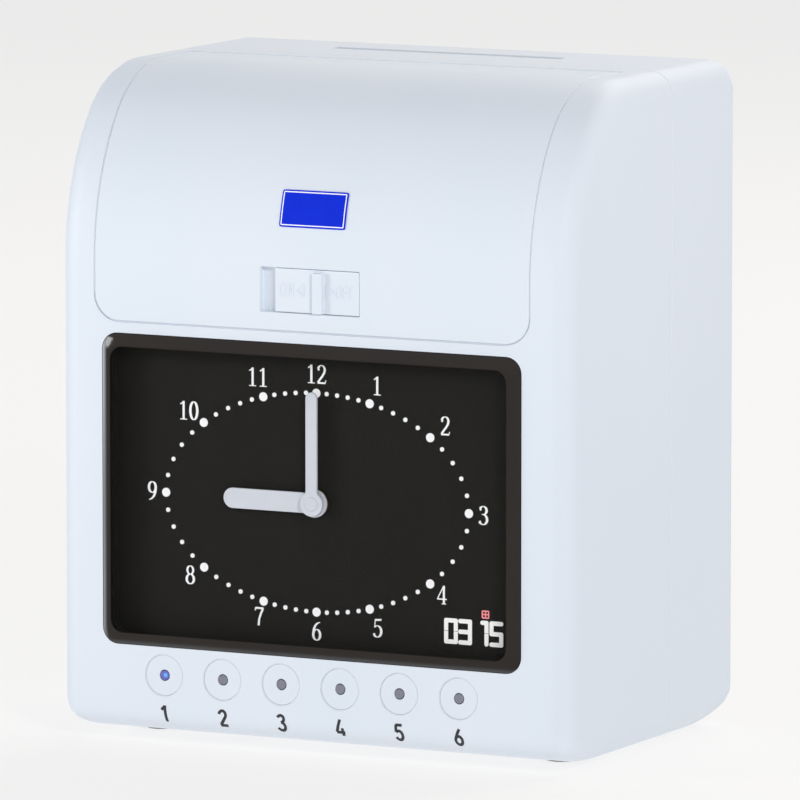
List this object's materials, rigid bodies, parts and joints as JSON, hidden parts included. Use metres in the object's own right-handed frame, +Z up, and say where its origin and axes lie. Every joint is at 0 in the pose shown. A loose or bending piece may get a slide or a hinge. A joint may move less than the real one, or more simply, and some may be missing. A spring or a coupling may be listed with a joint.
{
  "type": "time clock",
  "caption": "Card time recorder with an analogue dial, date display, push buttons, hinged cover and top card slot.",
  "frame": {"origin": "on the table, under the middle of the object's bounding box", "axes": "+Z up; the dial faces -Y, so +Y runs from the front to the back; +X to the right seen from the front"},
  "size_m": [0.19, 0.1344, 0.226],
  "materials": {
    "housing_white": "fine satin moulded plastic, cool white",
    "cover_white": "fine satin moulded plastic, cool white",
    "button_white": "smooth moulded plastic, cool white",
    "clear_acrylic": "clear polished acrylic",
    "dial_black": "flat printed black",
    "dial_print": "white print",
    "hand_grey": "satin light blue-grey",
    "display_black": "black filter glass",
    "display_light": "glowing white strokes",
    "lamp_lens": "moulded light pipe",
    "steel_sheet": "zinc-plated sheet",
    "ground_steel": "ground and polished rod",
    "brass_wheel": "cut brass",
    "clock_plastic": "natural moulded plastic",
    "white_gear": "natural acetal",
    "black_plastic": "black moulded plastic",
    "grey_plastic": "dark grey moulded plastic",
    "ribbon_ink": "inked nylon ribbon",
    "knob_blue": "blue moulded plastic",
    "circuit_board": "green solder mask",
    "motor_can": "plated motor can",
    "transformer_iron": "varnished laminations",
    "battery_wrap": "shrink sleeve",
    "rubber_black": "moulded rubber",
    "roller_rubber": "ground rubber"
  },
  "bodies": {
    "housing": {"front_housing": "housing_white", "rear_housing": "housing_white", "cover_hinge_pins": "ground_steel", "lock_striker": "steel_sheet", "window_lens": "clear_acrylic", "dial_plate": "dial_black", "dial_dots": "dial_print", "display_module": "display_black", "display_figures": "display_light", "movement_case": "clock_plastic", "movement_posts": "ground_steel", "stepper_motor": "motor_can", "button_lamps": "lamp_lens", "tact_switches": "black_plastic", "button_board": "circuit_board", "main_board": "circuit_board", "board_components": "black_plastic", "buzzer": "black_plastic", "left_side_frame": "steel_sheet", "right_side_frame": "steel_sheet", "base_plate": "steel_sheet", "carriage_shelf": "steel_sheet", "main_rod": "ground_steel", "second_rod": "ground_steel", "carriage_motor": "motor_can", "toothed_belt": "rubber_black", "ribbon_cartridge": "black_plastic", "ribbon": "ribbon_ink", "platen_bar": "roller_rubber", "upper_card_guide": "grey_plastic", "lower_card_guide": "grey_plastic", "feed_motor": "motor_can", "transformer": "transformer_iron", "battery_pack": "battery_wrap", "power_inlet": "black_plastic", "housing_screws": "ground_steel", "rubber_feet": "rubber_black"},
    "cover": {"access_cover": "cover_white"},
    "slider": {"cover_slider": "cover_white", "lock_bolt": "steel_sheet"},
    "minute_hand": {"minute_hand": "hand_grey", "cannon_pinion": "brass_wheel"},
    "hour_hand": {"hour_hand": "hand_grey", "hour_wheel": "brass_wheel"},
    "minute_wheel": {"minute_wheel": "brass_wheel"},
    "carriage": {"print_carriage": "grey_plastic", "print_head": "motor_can"},
    "drive_pulley": {"drive_pulley": "white_gear"},
    "idler_pulley": {"idler_pulley": "white_gear"},
    "feed_roller": {"feed_roller": "roller_rubber", "feed_gear": "white_gear"},
    "pinch_roller": {"pinch_roller": "roller_rubber"},
    "motor_pinion": {"motor_pinion": "white_gear"},
    "ribbon_knob": {"ribbon_knob": "knob_blue"},
    "button_1": {"button_1": "button_white"},
    "button_2": {"button_2": "button_white"},
    "button_3": {"button_3": "button_white"},
    "button_4": {"button_4": "button_white"},
    "button_5": {"button_5": "button_white"},
    "button_6": {"button_6": "button_white"}
  },
  "joints": [
    {"name": "cover_hinge", "type": "hinge", "parent": "housing", "child": "cover", "pos_m": [0, 0.00275, 0.2234], "axis": [-1, 0, 0], "range_deg": [0, 75]},
    {"name": "slider_slide", "type": "slide", "parent": "cover", "child": "slider", "axis": [-1, 0, 0], "range_m": [0, 0.0052]},
    {"name": "button_1_press", "type": "slide", "parent": "housing", "child": "button_1", "axis": [0, 1, 0], "range_m": [0, 0.0012], "stiffness_N_per_m": 300, "springref_m": -0.002},
    {"name": "button_2_press", "type": "slide", "parent": "housing", "child": "button_2", "axis": [0, 1, 0], "range_m": [0, 0.0012], "stiffness_N_per_m": 300, "springref_m": -0.002},
    {"name": "button_3_press", "type": "slide", "parent": "housing", "child": "button_3", "axis": [0, 1, 0], "range_m": [0, 0.0012], "stiffness_N_per_m": 300, "springref_m": -0.002},
    {"name": "button_4_press", "type": "slide", "parent": "housing", "child": "button_4", "axis": [0, 1, 0], "range_m": [0, 0.0012], "stiffness_N_per_m": 300, "springref_m": -0.002},
    {"name": "button_5_press", "type": "slide", "parent": "housing", "child": "button_5", "axis": [0, 1, 0], "range_m": [0, 0.0012], "stiffness_N_per_m": 300, "springref_m": -0.002},
    {"name": "button_6_press", "type": "slide", "parent": "housing", "child": "button_6", "axis": [0, 1, 0], "range_m": [0, 0.0012], "stiffness_N_per_m": 300, "springref_m": -0.002},
    {"name": "minute_spin", "type": "hinge", "parent": "housing", "child": "minute_hand", "pos_m": [0, 0, 0.085], "axis": [0, 1, 0], "continuous": true},
    {"name": "hour_spin", "type": "hinge", "parent": "housing", "child": "hour_hand", "pos_m": [0, 0, 0.085], "axis": [0, 1, 0], "continuous": true},
    {"name": "minute_wheel_spin", "type": "hinge", "parent": "housing", "child": "minute_wheel", "pos_m": [0, 0, 0.073], "axis": [0, 1, 0], "continuous": true},
    {"name": "carriage_slide", "type": "slide", "parent": "housing", "child": "carriage", "axis": [1, 0, 0], "range_m": [-0.03, 0.03]},
    {"name": "drive_pulley_spin", "type": "hinge", "parent": "housing", "child": "drive_pulley", "pos_m": [0.054, 0.00135, 0.14], "axis": [0, 0, 1], "range_deg": [-265, 265]},
    {"name": "idler_pulley_spin", "type": "hinge", "parent": "housing", "child": "idler_pulley", "pos_m": [-0.054, 0.00135, 0.14], "axis": [0, 0, 1], "range_deg": [-265, 265]},
    {"name": "feed_spin", "type": "hinge", "parent": "housing", "child": "feed_roller", "pos_m": [0, 0.04505, 0.12], "axis": [1, 0, 0], "continuous": true},
    {"name": "pinch_spin", "type": "hinge", "parent": "housing", "child": "pinch_roller", "pos_m": [0, 0.03065, 0.12], "axis": [1, 0, 0], "continuous": true},
    {"name": "pinion_spin", "type": "hinge", "parent": "housing", "child": "motor_pinion", "pos_m": [0, 0.04505, 0.1008], "axis": [1, 0, 0], "continuous": true},
    {"name": "knob_spin", "type": "hinge", "parent": "housing", "child": "ribbon_knob", "pos_m": [-0.04, -0.00065, 0.191], "axis": [0, 0, 1], "continuous": true}
  ],
  "couplings": [
    {"joint": "hour_spin", "follows": "minute_spin", "ratio": 0.083333},
    {"joint": "minute_wheel_spin", "follows": "minute_spin", "ratio": -0.33333},
    {"joint": "drive_pulley_spin", "follows": "carriage_slide", "rad_per_m": -151.51},
    {"joint": "idler_pulley_spin", "follows": "carriage_slide", "rad_per_m": -151.51},
    {"joint": "pinch_spin", "follows": "feed_spin", "ratio": -1.1667},
    {"joint": "pinion_spin", "follows": "feed_spin", "ratio": -3}
  ]
}
